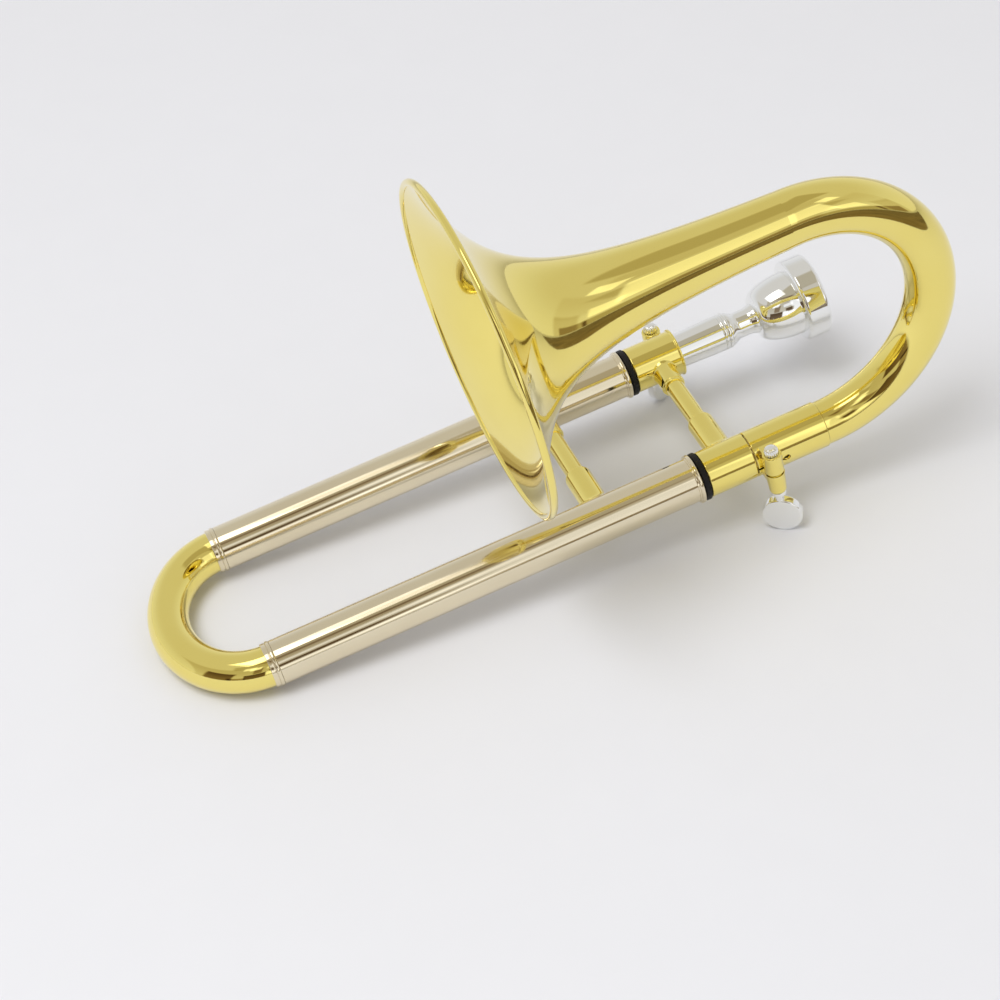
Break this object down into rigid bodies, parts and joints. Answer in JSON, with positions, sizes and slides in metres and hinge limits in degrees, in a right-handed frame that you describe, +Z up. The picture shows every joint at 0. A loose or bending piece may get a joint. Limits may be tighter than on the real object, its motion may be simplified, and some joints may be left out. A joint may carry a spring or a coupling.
{
  "type": "piccolo trombone",
  "caption": "Piccolo trombone with a hand slide, a wide brass bell, clamped bell and mouthpiece joints and a silver cup mouthpiece.",
  "frame": {"origin": "on the ground under the middle of the instrument, which stands on its slide bow and on the paddles of its two clamp screws", "axes": "+X along the slide towards the mouthpiece, +Y from the bell's leg to the mouthpiece's leg, +Z up"},
  "size_m": [0.2486, 0.1194, 0.1463],
  "materials": {
    "gold_lacquered_brass": "polished, clear gold lacquer",
    "nickel_silver": "polished nickel silver",
    "silver_plate": "mirror silver plate",
    "black_rubber": "matt"
  },
  "bodies": {
    "outer_slide": {"outer_tube_near": "nickel_silver", "outer_tube_far": "nickel_silver", "outer_end_ring_near": "nickel_silver", "outer_end_ring_far": "nickel_silver", "slide_bow_ferrule_near": "nickel_silver", "slide_bow_ferrule_far": "nickel_silver", "slide_bow": "gold_lacquered_brass", "outer_brace_tube": "gold_lacquered_brass", "outer_brace_ferrule": "gold_lacquered_brass", "outer_brace_socket": "gold_lacquered_brass"},
    "inner_slide": {"inner_tube_near": "nickel_silver", "inner_tube_far": "nickel_silver", "bumper_near": "black_rubber", "bumper_far": "black_rubber", "cork_barrel_near": "gold_lacquered_brass", "bell_tenon": "nickel_silver", "leadpipe": "gold_lacquered_brass", "mouthpiece_receiver": "gold_lacquered_brass", "inner_brace_tube": "gold_lacquered_brass", "inner_brace_ferrule": "gold_lacquered_brass", "inner_brace_socket": "gold_lacquered_brass"},
    "bell_section": {"bell_receiver": "gold_lacquered_brass", "bell_bow": "gold_lacquered_brass", "bell": "gold_lacquered_brass", "bell_rim_bead": "gold_lacquered_brass"},
    "mouthpiece": {"mouthpiece": "silver_plate"},
    "bell_clamp_screw": {"bell_clamp_screw": "silver_plate"},
    "mouthpiece_clamp_screw": {"mouthpiece_clamp_screw": "silver_plate"}
  },
  "joints": [
    {"name": "hand_slide", "type": "slide", "parent": "outer_slide", "child": "inner_slide", "axis": [0.9949, -0.0005, 0.1013], "range_m": [0, 0.105]},
    {"name": "bell_tuning", "type": "slide", "parent": "inner_slide", "child": "bell_section", "axis": [0.9949, -0.0005, 0.1013], "range_m": [0, 0.008]},
    {"name": "mouthpiece_pull", "type": "slide", "parent": "inner_slide", "child": "mouthpiece", "axis": [0.9949, -0.0005, 0.1013], "range_m": [0, 0.02]},
    {"name": "bell_clamp_turn", "type": "hinge", "parent": "bell_section", "child": "bell_clamp_screw", "pos_m": [0.06068, -0.01813, 0.02409], "axis": [-0.1013, -0.0094, 0.9948], "range_deg": [-360, 0]},
    {"name": "mouthpiece_clamp_turn", "type": "hinge", "parent": "inner_slide", "child": "mouthpiece_clamp_screw", "pos_m": [0.05368, 0.05517, 0.02408], "axis": [-0.1013, -0.0094, 0.9948], "range_deg": [-360, 0]}
  ]
}
